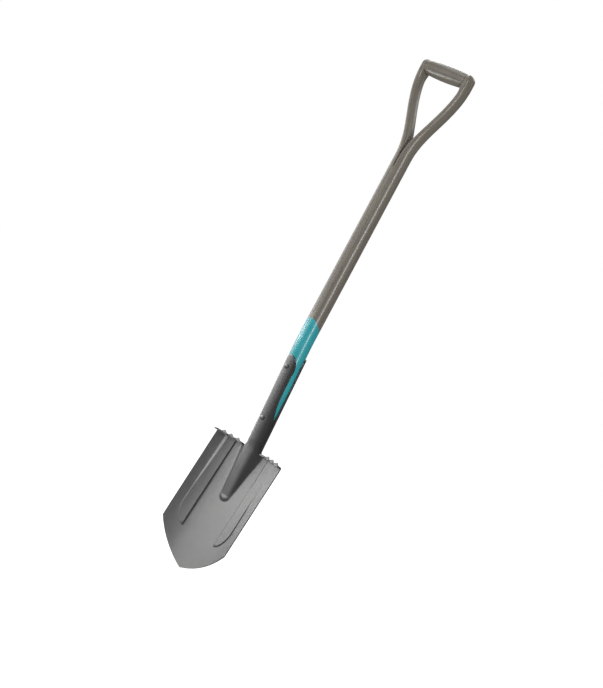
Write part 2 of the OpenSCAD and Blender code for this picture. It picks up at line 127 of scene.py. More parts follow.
# Socket and straps
BEND_Z = 525.0
BEND = math.radians(4.6)
BEND_R = 600.0
SOCKET_R = 19.0
STRAP_R = 20.9
STRAP_TOP_Z = 497.0
SEAM_ANGLE = math.radians(87.5)
SEAM_GAP = math.radians(0.5)
STRAP_ANGLE = math.radians(55.0)
NOTCH_Z = 355.0
NOTCH_RISE = 58.0
STRAP_TIP_L = 28.0
REAR_CORNER_R = 6.0
REAR_NARROWING = math.radians(9.0)
SPOON_W = 37.0
SPOON_END_W = 22.0
SPOON_END_Z = 175.0
SPOON_CAP = 17.0
SPOON_LIP = 6.0
STRAP_GAP = 0.1                             # between the rear strap and the blade
FLARE_LOW_Z = 266.0
FLARE_HIGH_Z = 288.0
SOCKET_START_Z = 304.0

# Wood
SHAFT_R = 18.0
WOOD_GAP = 0.1                              # between the wood and the steel around it
SHAFT_END_Z = 268.0
SHAFT_END_R = 10.5
WOOD_TAPER_Z = 300.0
SPLIT_Z = 933.0
KERF = 2.6
SPREAD_LOW_Z = 958.0
SPREAD_HIGH_Z = 1140.0
OVAL_Z = 1060.0
LIMB_X = 57.5
LIMB_T = 16.5
LIMB_DEPTH = 31.0
LIMB_HALF_ROUND = 8.0                       # a limb keeps the shaft's section for this height
SEAT_BLEND_Z = 1118.0                       # a limb's section starts to widen for the crosspiece
SEAT_BELOW = 14.0                           # and is widest this far below the crosspiece's middle
SHOULDER_POWER = 2.5
CROSS_END_R = 15.75
PAINT_TOP_Z = 565.0


def smooth(t):
    c = min(max(t, 0.0), 1.0)
    return c * c * (3 - 2 * c)


def blend(a, b, t):
    return a + (b - a) * t


def steps(a, b, n):
    """n values after a, the last of them b."""
    return [blend(a, b, (k + 1) / n) for k in range(n)]


# ---------------------------------------------------------------------------------------------
# Mesh tools
# ---------------------------------------------------------------------------------------------


def make_object(name, points, faces, grain=None):
    """A mesh object from points in millimetres; grain is an optional vector for each point."""
    mesh = bpy.data.meshes.new(name)
    mesh.from_pydata([tuple(c * MM for c in p) for p in points], [], faces)
    if grain is not None:
        layer = mesh.attributes.new("grain", "FLOAT_VECTOR", "POINT")
        layer.data.foreach_set("vector", np.array(grain, np.float32).ravel() * MM)
    obj = bpy.data.objects.new(name, mesh)
    bpy.context.scene.collection.objects.link(obj)
    return obj


def clean(obj, outward=True):
    """Joins points in the same place, drops faces without area and turns the normals outward."""
    bm = bmesh.new()
    bm.from_mesh(obj.data)
    bmesh.ops.remove_doubles(bm, verts=bm.verts, dist=0.02 * MM)
    bmesh.ops.dissolve_degenerate(bm, edges=bm.edges, dist=0.005 * MM)
    if outward:
        bmesh.ops.recalc_face_normals(bm, faces=bm.faces)
    bm.to_mesh(obj.data)
    bm.free()


def bake(obj):
    """Replaces the object's mesh by its mesh with all modifiers applied."""
    graph = bpy.context.evaluated_depsgraph_get()
    mesh = bpy.data.meshes.new_from_object(obj.evaluated_get(graph), depsgraph=graph)
    obj.modifiers.clear()
    obj.data = mesh


def shade_smooth(obj):
    obj.data.polygons.foreach_set("use_smooth", [True] * len(obj.data.polygons))


def mark_sheet(obj):
    """Stores how near each point is to the sheet's edge, and how sharply the sheet bends."""
    mesh = obj.data
    count = len(mesh.vertices)
    co = np.zeros(count * 3)
    mesh.vertices.foreach_get("co", co)
    co = co.reshape(-1, 3)
    normal = np.array([v.normal for v in mesh.vertices])
    ends = np.zeros(len(mesh.edges) * 2, int)
    mesh.edges.foreach_get("vertices", ends)
    a, b = ends.reshape(-1, 2).T
    step = co[b] - co[a]
    length = np.linalg.norm(step, axis=1) + 1e-9
    bend = np.zeros(count)
    share = np.zeros(count)
    np.add.at(bend, a, (step * normal[a]).sum(1) / length)
    np.add.at(bend, b, (-step * normal[b]).sum(1) / length)
    np.add.at(share, a, length)
    np.add.at(share, b, length)
    curvature = bend / share * MM
    for _ in range(2):
        total = curvature.copy()
        weight = np.ones(count)
        np.add.at(total, a, curvature[b])
        np.add.at(total, b, curvature[a])
        np.add.at(weight, a, 1)
        np.add.at(weight, b, 1)
        curvature = total / weight

    bm = bmesh.new()
    bm.from_mesh(mesh)
    rim = [v.co.copy() for v in bm.verts if v.is_boundary]
    bm.free()
    tree = KDTree(len(rim))
    for i, p in enumerate(rim):
        tree.insert(p, i)
    tree.balance()
    reach = 2.0 * MM
    near = np.array([math.exp(-tree.find(p)[2] / reach) for p in co.tolist()])
    for name, values in (("bend", curvature), ("rim", near)):
        layer = mesh.attributes.new(name, "FLOAT", "POINT")
        layer.data.foreach_set("value", values.astype(np.float32))


def finish_sheet(obj, inward):
    """Gives an open sheet its thickness, with softly rounded edges."""
    mark_sheet(obj)
    solid = obj.modifiers.new("thickness", "SOLIDIFY")
    solid.thickness = SHEET_T * MM
    solid.offset = -1.0 if inward else 1.0
    solid.use_even_offset = True
    solid.use_quality_normals = True
    soft = obj.modifiers.new("soft_edges", "BEVEL")
    soft.width = 0.55 * MM
    soft.segments = 2
    soft.limit_method = "ANGLE"
    soft.angle_limit = math.radians(50)
    bake(obj)
    shade_smooth(obj)


def grid_faces(rows, cols, base=0):
    return [(base + i * cols + j, base + i * cols + j + 1,
             base + (i + 1) * cols + j + 1, base + (i + 1) * cols + j)
            for i in range(rows - 1) for j in range(cols - 1)]


def add_grid(points, faces, grid):
    """Adds a grid of points, given as rows, with its faces."""
    faces += grid_faces(len(grid), len(grid[0]), len(points))
    for row in grid:
        points += row


# ---------------------------------------------------------------------------------------------
# The blade's front surface
# ---------------------------------------------------------------------------------------------


def centre_y(z):
    return BLADE_Y - (TREAD_Z - z) * math.tan(BLADE_LEAN)


def plain_y(x, z):
    return centre_y(z) - (HOLLOW_R - math.sqrt(HOLLOW_R ** 2 - x * x))


def above_frog_end(z):
    return max(z - FROG_END_Z, 0.0) / (TREAD_Z - FROG_END_Z)


def frog_half(z):
    flare = FROG_FLARE * smooth((z - FROG_FLARE_Z) / (TREAD_Z - FROG_FLARE_Z))
    return blend(FROG_END_W, FROG_W, above_frog_end(z)) + flare


def bell(ratio, flatness=1.15):
    """A raised section over its relative half width; a high flatness gives it a level top."""
    if ratio >= 1:
        return 0.0
    return math.cos(math.pi / 2 * ratio ** flatness) ** 2


def frog_h(x, z):
    up = above_frog_end(z)
    crest = blend(FROG_END_H, BLADE_Y - CREST_Y, up)
    ratio = math.hypot(x / frog_half(z), max(FROG_END_Z - z, 0.0) / FROG_CAP)
    return crest * bell(ratio, blend(FROG_END_FLAT, FROG_TOP_FLAT, up))


def rib_edge(z):
    t = min(max((RIB_TURN_Z - z) / (RIB_TURN_Z - RIB_TIP_Z), 0.0), 1.0)
    return blend(RIB_IN + 2 * RIB_FLANK, RIB_OUT, (1 - t ** 1.6) ** (1 / 1.6))


def outer_flank(z):
    """Width of a rib's outer slope: steep near its tip, gentle towards the tread."""
    return blend(RIB_FLANK, RIB_FLANK_TOP, smooth((z - RIB_TURN_Z) / (TREAD_Z - RIB_TURN_Z)))


def rib_height(x, z):
    inner = (abs(x) - RIB_IN) / RIB_FLANK
    outer = (rib_edge(z) - abs(x)) / outer_flank(z)
    tip = (z - RIB_TIP_Z) / (2 * RIB_FLANK)
    height = blend(RIB_H, RIB_TOP_H, smooth((z - RIB_TURN_Z) / (TREAD_Z - RIB_TURN_Z)))
    return height * smooth(min(inner, outer)) * smooth(tip + 0.5)


def front_y(x, z):
    return plain_y(x, z) - frog_h(x, z) - rib_height(x, z)


POINT_CHORD = math.hypot(HALF_W, SHOULDER_Z)
POINT_RISE = math.sqrt(POINT_R ** 2 - POINT_CHORD ** 2 / 4)
POINT_CX = HALF_W / 2 - POINT_RISE * SHOULDER_Z / POINT_CHORD
POINT_CZ = SHOULDER_Z / 2 + POINT_RISE * HALF_W / POINT_CHORD


def half_width(z):
    if z >= SHOULDER_Z:
        return HALF_W
    arc = POINT_CX + math.sqrt(max(POINT_R ** 2 - (z - POINT_CZ) ** 2, 0.0))
    return max(arc, TIP_HALF_W)


def sheet_x(u, z):
    """Place across the sheet, at height z, of the column that meets the tread at u."""
    k = half_width(z) / HALF_W
    edge = rib_edge(z)
    at_top = [0, FROG_W + FROG_FLARE, RIB_IN, RIB_IN + RIB_FLANK, RIB_OUT - RIB_FLANK_TOP, RIB_OUT, HALF_W]
    here = [0, frog_half(z) * k, RIB_IN * k, (RIB_IN + RIB_FLANK) * k,
            (edge - outer_flank(z)) * k + 0.01, edge * k + 0.02, half_width(z)]
    return math.copysign(float(np.interp(abs(u), at_top, here)), u)


def tooth_places():
    return [FIRST_TOOTH_X + k * TOOTH_PITCH for k in range(TEETH)]


def column_places():
    """Columns of the right half, from the middle out, closer together where the sheet bends."""
    corner = [1 - math.cos(math.radians(a)) for a in (0, 20, 40, 60, 75, 90)]
    places = [0.0] + steps(0, TREAD_IN, 20)
    places += [TREAD_IN + TREAD_CORNER_R * c for c in corner[1:]]
    places += steps(TREAD_IN + TREAD_CORNER_R, RIB_IN - 1, 10)
    places += [RIB_IN] + steps(RIB_IN, RIB_IN + RIB_FLANK, 5)
    places += steps(RIB_IN + RIB_FLANK, RIB_OUT - RIB_FLANK_TOP, 12)
    places += steps(RIB_OUT - RIB_FLANK_TOP, RIB_OUT, 7)
    places += steps(RIB_OUT, HALF_W - TREAD_CORNER_R, 9)
    places += [HALF_W - TREAD_CORNER_R * c for c in corner[:-1]]
    for x in tooth_places():
        places += [x - TOOTH_HALF, x - 0.6, x, x + 0.6, x + TOOTH_HALF]
    kept = []
    for x in sorted(places):
        if not kept or x - kept[-1] > 0.3 or x in tooth_places():
            kept.append(x)
    return kept


RIGHT = column_places()
COLUMNS = [-x for x in RIGHT[:0:-1]] + RIGHT
FOLD_Z = TREAD_Z - SHEET_T - FOLD_R


def sheet_rows():
    low = [blend(TIP_Z, SHOULDER_Z, (1 - math.cos(math.radians(a))) / 2)
           for a in range(0, 181, 6)]
    rib = [blend(SHOULDER_Z, RIB_TURN_Z, 1 - math.cos(math.radians(a))) for a in range(5, 91, 5)]
    frog_low = FROG_END_Z - FROG_CAP - 2
    return (low + rib + steps(RIB_TURN_Z, frog_low, 16) + steps(frog_low, FROG_END_Z, 14)
            + steps(FROG_END_Z, FOLD_Z, 42))


def to_world(x, y_local, s):
    """A point in the socket's leaning frame, s along its axis from the bend."""
    return (x, AXIS_Y + y_local * math.cos(BEND) - s * math.sin(BEND),
            BEND_Z + y_local * math.sin(BEND) + s * math.cos(BEND))


def along(z):
    return (z - BEND_Z) / math.cos(BEND)


def socket_r(s):
    t = (s - along(TREAD_Z)) / (along(STRAP_TOP_Z) - along(TREAD_Z))
    return blend(SOCKET_R, STRAP_R, t)


def front_tube(angle, s):
    """A point on the front half of the socket; angle 0 is its middle."""
    r = socket_r(s)
    return to_world(r * math.sin(angle), -r * math.cos(angle), s)


def front_limit(s):
    """Half angle of the front strap at a place along the socket."""
    rise = min(max((s - along(NOTCH_Z)) / NOTCH_RISE, 0.0), 1.0)
    edge = STRAP_R * math.cos(STRAP_ANGLE) * math.sqrt(1 - (1 - rise) ** 2)
    return min(SEAM_ANGLE, math.acos(edge / socket_r(s)))


def socket_grid(places):
    """Rows of the front half tube, the strap above it and its rounded tip."""
    grid = []
    for z in steps(FOLD_Z, SOCKET_START_Z, 12):
        k = smooth((z - FOLD_Z) / (SOCKET_START_Z - FOLD_Z))
        row = []
        for x in places:
            tube = front_tube(x / TREAD_IN * SEAM_ANGLE, along(z))
            sheet = (x, front_y(x, z) + AXIS_Y, z)
            row.append(tuple(blend(a, b, k) for a, b in zip(sheet, tube)))
        grid.append(row)
    notch = along(NOTCH_Z)
    tip_low = along(STRAP_TOP_Z) - STRAP_TIP_L
    tip_start = tip_low - 18
    lengths = steps(along(SOCKET_START_Z), notch, 12)
    lengths += [notch + NOTCH_RISE * (1 - math.cos(math.radians(a))) for a in range(6, 91, 6)]
    lengths += steps(notch + NOTCH_RISE, tip_start, 8)
    for s in lengths:
        grid.append([front_tube(x / TREAD_IN * front_limit(s), s) for x in places])
    tip_half = STRAP_R * math.sin(STRAP_ANGLE) + 0.4
    for v in steps(0, 1, 16):
        row = []
        for x in places:
            u = x / TREAD_IN
            s = tip_start + v * (tip_low - tip_start + STRAP_TIP_L * math.cos(math.pi / 2 * u))
            straight = u * front_limit(s)
            arched = math.asin(min(tip_half * math.sin(math.pi / 2 * u) / socket_r(s), 1.0))
            row.append(front_tube(blend(straight, arched, smooth(v)), s))
        grid.append(row)
    return grid


def tread_front_y(x):
    """The tread's front outline, with a rounded corner at each end."""
    y = plain_y(x, TREAD_Z) - TREAD_DEPTH
    over = max(abs(x) - (HALF_W - TREAD_CORNER_R), TREAD_IN + TREAD_CORNER_R - abs(x), 0.0)
    return y + TREAD_CORNER_R - math.sqrt(max(TREAD_CORNER_R ** 2 - over ** 2, 0.0))


def tooth_rise(x, forward):
    """Height of the teeth over the tread; forward runs from 0 at the fold to 1 at the front."""
    nearest = min(tooth_places(), key=lambda place: abs(place - abs(x)))
    across = max(1 - abs(abs(x) - nearest) / TOOTH_HALF, 0.0) ** 0.8
    back = smooth((forward - 0.03) / 0.09)
    return TOOTH_H * across * back * blend(1.0, 0.12, forward)


def tread_grid(places):
    """Rows of one tread: the fold, then the flat part with its teeth."""
    grid = []
    for angle in (15, 30, 45, 60, 75, 90):
        a = math.radians(angle)
        grid.append([(x, AXIS_Y + front_y(x, FOLD_Z) - FOLD_R * (1 - math.cos(a)),
                      FOLD_Z + FOLD_R * math.sin(a)) for x in places])
    for t in (0.04, 0.08, 0.12, 0.2, 0.3, 0.4, 0.5, 0.6, 0.7, 0.8, 0.88, 0.94, 0.98, 1.0):
        row = []
        for x in places:
            start = front_y(x, FOLD_Z) - FOLD_R
            y = blend(start, tread_front_y(x), t)
            row.append((x, AXIS_Y + y, TREAD_Z - SHEET_T + tooth_rise(x, t)))
        grid.append(row)
    return grid


def build_blade():
    points, faces = [], []
    rows = [[(sheet_x(u, z), AXIS_Y + front_y(sheet_x(u, z), z), z) for u in COLUMNS]
            for z in sheet_rows()]
    add_grid(points, faces, rows)
    top = rows[-1]
    middle = [j for j, u in enumerate(COLUMNS) if abs(u) <= TREAD_IN + 1e-6]
    left = [j for j, u in enumerate(COLUMNS) if u <= -TREAD_IN + 1e-6]
    right = [j for j, u in enumerate(COLUMNS) if u >= TREAD_IN - 1e-6]
    socket = socket_grid([COLUMNS[j] for j in middle])
    add_grid(points, faces, [[top[j] for j in middle]] + socket)
    for side in (left, right):
        tread = tread_grid([COLUMNS[j] for j in side])
        add_grid(points, faces, [[top[j] for j in side]] + tread)
    obj = make_object("blade_sheet", points, faces)
    clean(obj)
    turn_towards(obj, Vector((0, -1, 0)))
    finish_sheet(obj, inward=True)
    return obj


def turn_towards(obj, direction):
    """Makes an open sheet's normals look mostly in a direction."""
    total = sum((p.normal * p.area for p in obj.data.polygons), Vector())
    if total.dot(direction) < 0:
        obj.data.flip_normals()


# ---------------------------------------------------------------------------------------------
# Rear strap and welds
# ---------------------------------------------------------------------------------------------


def rear_tube(angle, s):
    r = socket_r(s)
    return to_world(r * math.sin(angle), r * math.cos(angle), s)


def spoon_half(z):
    if z > SPOON_END_Z:
        return blend(SPOON_END_W, SPOON_W, (z - SPOON_END_Z) / (TREAD_Z - SPOON_END_Z))
    return SPOON_END_W * math.sqrt(max(1 - ((SPOON_END_Z - z) / SPOON_CAP) ** 2, 0.002))


def back_plain_y(x, z):
    return plain_y(x, z) + SHEET_T / math.cos(BLADE_LEAN) ** 2 + STRAP_GAP


def blade_back_y(x, z):
    """The back of the blade's sheet, measured straight through its slope."""
    slope = (front_y(x + 0.2, z) - front_y(x - 0.2, z)) / 0.4
    return front_y(x, z) + SHEET_T * math.sqrt(1 + slope ** 2 + math.tan(BLADE_LEAN) ** 2)


def spoon_y(x, z):
    """The spoon's outer surface on the blade's back, with its bulge over the shaft's end."""
    inner = (BEND_Z - TREAD_Z) * math.tan(BEND) + SOCKET_R - SHEET_T
    top_h = inner - back_plain_y(0, TREAD_Z)
    rise = top_h * max((z - SPOON_END_Z) / (TREAD_Z - SPOON_END_Z), 0.0)
    foot = max(spoon_half(z) - SPOON_LIP, 0.1)
    return back_plain_y(x, z) + SHEET_T + rise * bell(abs(x) / foot)


def rear_half(z):
    """Half angle of the rear strap: it narrows a little above the notch."""
    up = smooth((z - NOTCH_Z) / (STRAP_TOP_Z - NOTCH_Z - 60))
    return math.pi - SEAM_ANGLE - SEAM_GAP - REAR_NARROWING * up


def rear_point(u, z):
    tube = rear_tube(u * rear_half(z), along(z))
    if z >= FLARE_HIGH_Z:
        return tube
    x = spoon_half(z) * u
    spoon = (x, AXIS_Y + spoon_y(x, z), z)
    k = smooth((FLARE_HIGH_Z - z) / (FLARE_HIGH_Z - FLARE_LOW_Z))
    return tuple(blend(a, b, k) for a, b in zip(tube, spoon))


def build_rear_strap():
    cols = 40
    across = [math.sin(math.pi / 2 * (2 * j / cols - 1)) * 0.25 + (2 * j / cols - 1) * 0.75
              for j in range(cols + 1)]
    heights = [SPOON_END_Z - SPOON_CAP * math.cos(math.radians(a)) for a in range(4, 91, 7)]
    heights += steps(SPOON_END_Z, FLARE_LOW_Z, 36) + steps(FLARE_LOW_Z, FLARE_HIGH_Z, 14)
    heights += steps(FLARE_HIGH_Z, STRAP_TOP_Z - 12, 22)
    grid = [[rear_point(u, z) for u in across] for z in heights]
    half_angle = rear_half(STRAP_TOP_Z)
    start = along(heights[-1])
    for v in steps(0, 1, 8):
        row = []
        for u in across:
            over = max(abs(u) * STRAP_R * half_angle - (STRAP_R * half_angle - REAR_CORNER_R), 0)
            drop = REAR_CORNER_R - math.sqrt(REAR_CORNER_R ** 2 - over ** 2)
            s = blend(start, along(STRAP_TOP_Z) - drop, v)
            row.append(rear_tube(u * half_angle, s))
        grid.append(row)
    points, faces = [], []
    add_grid(points, faces, grid)
    obj = make_object("rear_strap_sheet", points, faces)
    clean(obj)
    turn_towards(obj, Vector((0, 1, 0)))
    finish_sheet(obj, inward=True)
    return obj


def sweep_bead(name, paths, width, height, pitch):
    """Weld beads along paths of (place, side direction, up direction), with a ripple."""
    points, faces = [], []
    ring = 12
    for path in paths:
        base = len(points)
        distance = 0.0
        for i, (place, side, up) in enumerate(path):
            if i:
                distance += math.dist(place, path[i - 1][0])
            phase = distance / pitch % 1.0
            grow = 0.82 + 0.18 * math.sqrt(max(1 - (2 * phase - 1) ** 2, 0.0))
            ends = min(i, len(path) - 1 - i)
            grow *= min(1.0, 0.25 + 0.25 * ends)
            for j in range(ring):
                a = 2 * math.pi * j / ring
                w = width * grow * math.cos(a)
                h = height * grow * math.sin(a)
                points.append(tuple(place[c] + side[c] * w + up[c] * h for c in range(3)))
        for i in range(len(path) - 1):
            for j in range(ring):
                a = base + i * ring + j
                b = base + i * ring + (j + 1) % ring
                faces.append((a, b, b + ring, a + ring))
        faces.append(tuple(base + j for j in range(ring - 1, -1, -1)))
        last = base + (len(path) - 1) * ring
        faces.append(tuple(last + j for j in range(ring)))
    obj = make_object(name, points, faces)
    clean(obj)
    shade_smooth(obj)
    return obj


def seam_path(side):
    """Up the seam between the blade's socket and the rear strap, to the notch."""
    path = []
    for z in np.arange(TREAD_Z + 12, NOTCH_Z - 2, 0.4):
        s = along(float(z))
        angle = side * (SEAM_ANGLE + SEAM_GAP / 2)
        out = to_world(math.sin(angle), -math.cos(angle), 0)
        centre = to_world(0, 0, 0)
        direction = tuple(a - b for a, b in zip(out, centre))
        tangent_end = to_world(math.cos(angle), math.sin(angle), 0)
        across = tuple(a - b for a, b in zip(tangent_end, centre))
        path.append((front_tube(angle, s), across, direction))
    return path


def lip_path():
    """Round the spoon's edge on the blade's back, from one tread to the other."""
    places = []
    for z in np.arange(TREAD_Z - 3, SPOON_END_Z, -0.45):
        places.append((rear_point(1, float(z))[0], float(z)))
    for a in np.arange(1.2, 180, 1.2):
        places.append((SPOON_END_W * math.cos(math.radians(a)),
                       SPOON_END_Z - SPOON_CAP * math.sin(math.radians(a))))
    for z in np.arange(SPOON_END_Z, TREAD_Z - 3, 0.45):
        places.append((rear_point(-1, float(z))[0], float(z)))
    path = []
    for i, (x, z) in enumerate(places):
        before = places[max(i - 1, 0)]
        after = places[min(i + 1, len(places) - 1)]
        dx, dz = after[0] - before[0], after[1] - before[1]
        size = math.hypot(dx, dz)
        out = (-dz / size, 0.0, dx / size)
        reach = 0.7
        x_out, z_out = x + out[0] * reach, z + out[2] * reach
        y = blade_back_y(x_out, z_out)
        path.append(((x_out, AXIS_Y + y, z_out), out, (0.0, 1.0, 0.0)))
    return path


# ---------------------------------------------------------------------------------------------
# Rivets
# ---------------------------------------------------------------------------------------------


def lathe(name, profile, place, segments=48):
    """A closed solid of revolution: profile is (radius, distance along), both ends at radius 0.
    place(radius_vector_a, radius_vector_b, along) puts a point in the world."""
    points, faces, grain = [], [], []
    for r, t in profile[1:-1]:
        for j in range(segments):
            a = 2 * math.pi * j / segments
            points.append(place(r * math.cos(a), r * math.sin(a), t))
            grain.append((r * math.cos(a), r * math.sin(a), t))
    rings = len(profile) - 2
    for i in range(rings - 1):
        for j in range(segments):
            a = i * segments + j
            b = i * segments + (j + 1) % segments
            faces.append((a, b, b + segments, a + segments))
    for ring, (r, t) in ((0, profile[0]), (rings - 1, profile[-1])):
        pole = len(points)
        points.append(place(0, 0, t))
        grain.append((0, 0, t))
        for j in range(segments):
            faces.append((ring * segments + j, ring * segments + (j + 1) % segments, pole))
    obj = make_object(name, points, faces, grain)
    clean(obj)
    shade_smooth(obj)
    return obj


def build_rivet(node, z):
    """Two domed heads, each with a short straight rim, joined by a shank."""
    head_r, head_h, shank_r, rim_h = 5.25, 2.6, 2.9, 0.5
    seat = socket_r(along(z))
    dome = [(head_r * math.cos(a), seat + rim_h + (head_h - rim_h) * math.sin(a))
            for a in np.radians(np.arange(0, 90, 9))]
    half = [(0.0, seat + head_h)] + dome[::-1] + [(head_r - 0.1, seat + 0.1), (head_r - 0.6, seat - 0.3),
                                                  (shank_r, seat - 0.3)]
    profile = half + [(r, -t) for r, t in half[::-1]]
    s = along(z)
    return lathe(node + "_headed", profile, lambda a, b, t: to_world(a, t, s + b))


# ---------------------------------------------------------------------------------------------
# Shaft and grip
# ---------------------------------------------------------------------------------------------


def limb_centre(z):
    t = min(max((z - SPREAD_LOW_Z) / (SPREAD_HIGH_Z - SPREAD_LOW_Z), 0.0), 1.0)
    return blend(SHAFT_R / 2 + KERF / 4, LIMB_X, (1 - math.cos(math.pi * t)) / 2)


def shaft_axis(z):
    """Y of the shaft's centre at height z, with a round bend."""
    half_bend = BEND_R * math.tan(BEND / 2)
    if z >= BEND_Z + half_bend:
        return 0.0
    if z > BEND_Z - half_bend * math.cos(BEND):
        drop = BEND_Z + half_bend - z
        return BEND_R - math.sqrt(BEND_R ** 2 - drop ** 2)
    return (BEND_Z - z) * math.tan(BEND)


def shaft_radius(z):
    wood = socket_r(along(z)) - SHEET_T - WOOD_GAP
    if z < WOOD_TAPER_Z:
        foot = socket_r(along(WOOD_TAPER_Z)) - SHEET_T - WOOD_GAP
        return blend(SHAFT_END_R, foot, (z - SHAFT_END_Z) / (WOOD_TAPER_Z - SHAFT_END_Z))
    return min(wood, SHAFT_R) if z < STRAP_TOP_Z else SHAFT_R


ARC = 40           # ring points on a limb's outer side
FLAT = 18          # ring points on the saw cut's side


def half_ring(radius):
    """One half of the round section, cut at the saw kerf: the arc, then the flat side."""
    open_angle = math.acos(KERF / 2 / radius)
    arc = [blend(-open_angle, open_angle, i / (ARC - 1)) for i in range(ARC)]
    ring = [(radius * math.cos(a), radius * math.sin(a)) for a in arc]
    edge = radius * math.sin(open_angle)
    for j in range(1, FLAT + 1):
        ring.append((KERF / 2, edge * math.cos(math.pi * j / (FLAT + 1))))
    return ring


def limb_ring(z):
    """One ring of the right limb, and the undeformed ring that gives the grain's place."""
    plain = half_ring(SHAFT_R)
    k = smooth((z - SPLIT_Z - LIMB_HALF_ROUND) / (OVAL_Z - SPLIT_Z - LIMB_HALF_ROUND))
    centre = limb_centre(z)
    spread = centre - limb_centre(SPLIT_Z)
    slope = limb_centre(z + 0.5) - limb_centre(z - 0.5)
    thick = LIMB_T * math.sqrt(1 + slope ** 2)
    above = min(max(z - CROSS_Z, 0.0) / CROSS_END_R, 1.0)
    cap = math.sqrt(1 - above ** 2)
    shoulder = (1 - above ** SHOULDER_POWER) ** (1 / SHOULDER_POWER)
    near_top = smooth((z - SEAT_BLEND_Z) / (CROSS_Z - SEAT_BELOW - SEAT_BLEND_Z))
    depth = blend(LIMB_DEPTH / 2, CROSS_END_R, near_top)
    ring = []
    for i, (px, py) in enumerate(plain):
        if i < ARC:
            a = blend(-math.pi / 2, math.pi / 2, i / (ARC - 1))
            power = 1.0
        else:
            a = math.pi / 2 + math.pi * (i - ARC + 1) / (FLAT + 1)
            power = blend(1.0, 0.3, near_top)
        reach = math.copysign(abs(math.cos(a)) ** power, math.cos(a))
        oval_x = centre - thick / 2 + thick * shoulder * (1 + reach) / 2
        oval_y = depth * cap * math.sin(a)
        ring.append((blend(px + spread, oval_x, k), blend(py, oval_y, k)))
    return ring, plain


def shaft_heights():
    half_bend = BEND_R * math.tan(BEND / 2)
    heights = [SHAFT_END_Z + 2] + steps(SHAFT_END_Z + 2, WOOD_TAPER_Z, 8)
    heights += steps(WOOD_TAPER_Z, STRAP_TOP_Z - 4, 30) + steps(STRAP_TOP_Z - 4, STRAP_TOP_Z + 3, 3)
    heights += steps(STRAP_TOP_Z + 3, BEND_Z + half_bend, 12)
    return heights + steps(BEND_Z + half_bend, SPLIT_Z, 60)


def limb_heights():
    heights = steps(SPLIT_Z, SPREAD_LOW_Z, 8) + steps(SPREAD_LOW_Z, SPREAD_HIGH_Z, 60)
    heights += steps(SPREAD_HIGH_Z, CROSS_Z, 5)
    return heights + [CROSS_Z + CROSS_END_R * math.sin(math.radians(a)) for a in range(6, 90, 6)]


def build_shaft():
    points, faces, grain = [], [], []
    for z in shaft_heights():
        r = shaft_radius(z)
        bend_y = shaft_axis(z)
        arc = half_ring(r)[:ARC]
        whole = arc + [(-x, -y) for x, y in arc]
        for x, y in whole:
            points.append((x, AXIS_Y + bend_y + y, z))
            grain.append((x, y, z))
    n = 2 * ARC
    rows = len(points) // n
    for i in range(rows - 1):
        for j in range(n):
            a, b = i * n + j, i * n + (j + 1) % n
            faces.append((a, b, b + n, a + n))
    foot = len(points)
    points.append((0, AXIS_Y + shaft_axis(SHAFT_END_Z), SHAFT_END_Z))
    grain.append((0, 0, SHAFT_END_Z))
    faces += [((j + 1) % n, j, foot) for j in range(n)]

    top = (rows - 1) * n
    flats = {}
    for side in (1, -1):
        first = len(points)
        edge = half_ring(SHAFT_R)[ARC:]
        for x, y in edge:
            points.append((side * x, AXIS_Y + side * y, SPLIT_Z))
            grain.append((side * x, side * y, SPLIT_Z))
        arc_start = top if side == 1 else top + ARC
        ring = [arc_start + i for i in range(ARC)] + [first + i for i in range(FLAT)]
        flats[side] = ring[ARC - 1:] + [ring[0]]
        m = len(ring)
        for z in limb_heights():
            shape, plain = limb_ring(z)
            base = len(points)
            for (x, y), (px, py) in zip(shape, plain):
                points.append((side * x, AXIS_Y + side * y, z))
                grain.append((side * px, side * py, z))
            for j in range(m):
                faces.append((ring[j], ring[(j + 1) % m], base + (j + 1) % m, base + j))
            ring = [base + j for j in range(m)]
        pole = len(points)
        points.append((side * (LIMB_X - LIMB_T / 2), AXIS_Y, CROSS_Z + CROSS_END_R))
        grain.append((side * SHAFT_R / 2, 0, CROSS_Z + CROSS_END_R))
        faces += [(ring[j], ring[(j + 1) % m], pole) for j in range(m)]
    right, left = flats[1], flats[-1][::-1]
    for j in range(len(right) - 1):
        faces.append((right[j], right[j + 1], left[j + 1], left[j]))
    obj = make_object("shaft_wood", points, faces, grain)
    clean(obj)
    shade_smooth(obj)
    return obj


def build_crosspiece():
    """A barrel with its ends rounded over a little where they enter the limbs."""
    rim = 0.4
    profile = [(0.0, -SEAT_X), (CROSS_END_R - 2.2, -SEAT_X)]
    inner = SEAT_X - 0.2
    turns = [math.radians(a) for a in range(0, 91, 15)]
    start = [(CROSS_END_R - rim + rim * math.sin(a), -inner + rim * (1 - math.cos(a))) for a in turns]
    profile += [(start[0][0], -SEAT_X)] + start
    for t in np.linspace(-0.93, 0.93, 45):
        profile.append((blend(CROSS_R, CROSS_END_R, t * t) - 0.02, float(t) * SEAT_X))
    profile += [(r, -x) for r, x in start[::-1]]
    profile += [(start[0][0], SEAT_X), (CROSS_END_R - 2.2, SEAT_X), (0.0, SEAT_X)]
    return lathe("crosspiece_barrel", profile,
                 lambda a, b, t: (t, AXIS_Y + a, CROSS_Z + b), segments=72)


# ---------------------------------------------------------------------------------------------
# Materials
# ---------------------------------------------------------------------------------------------


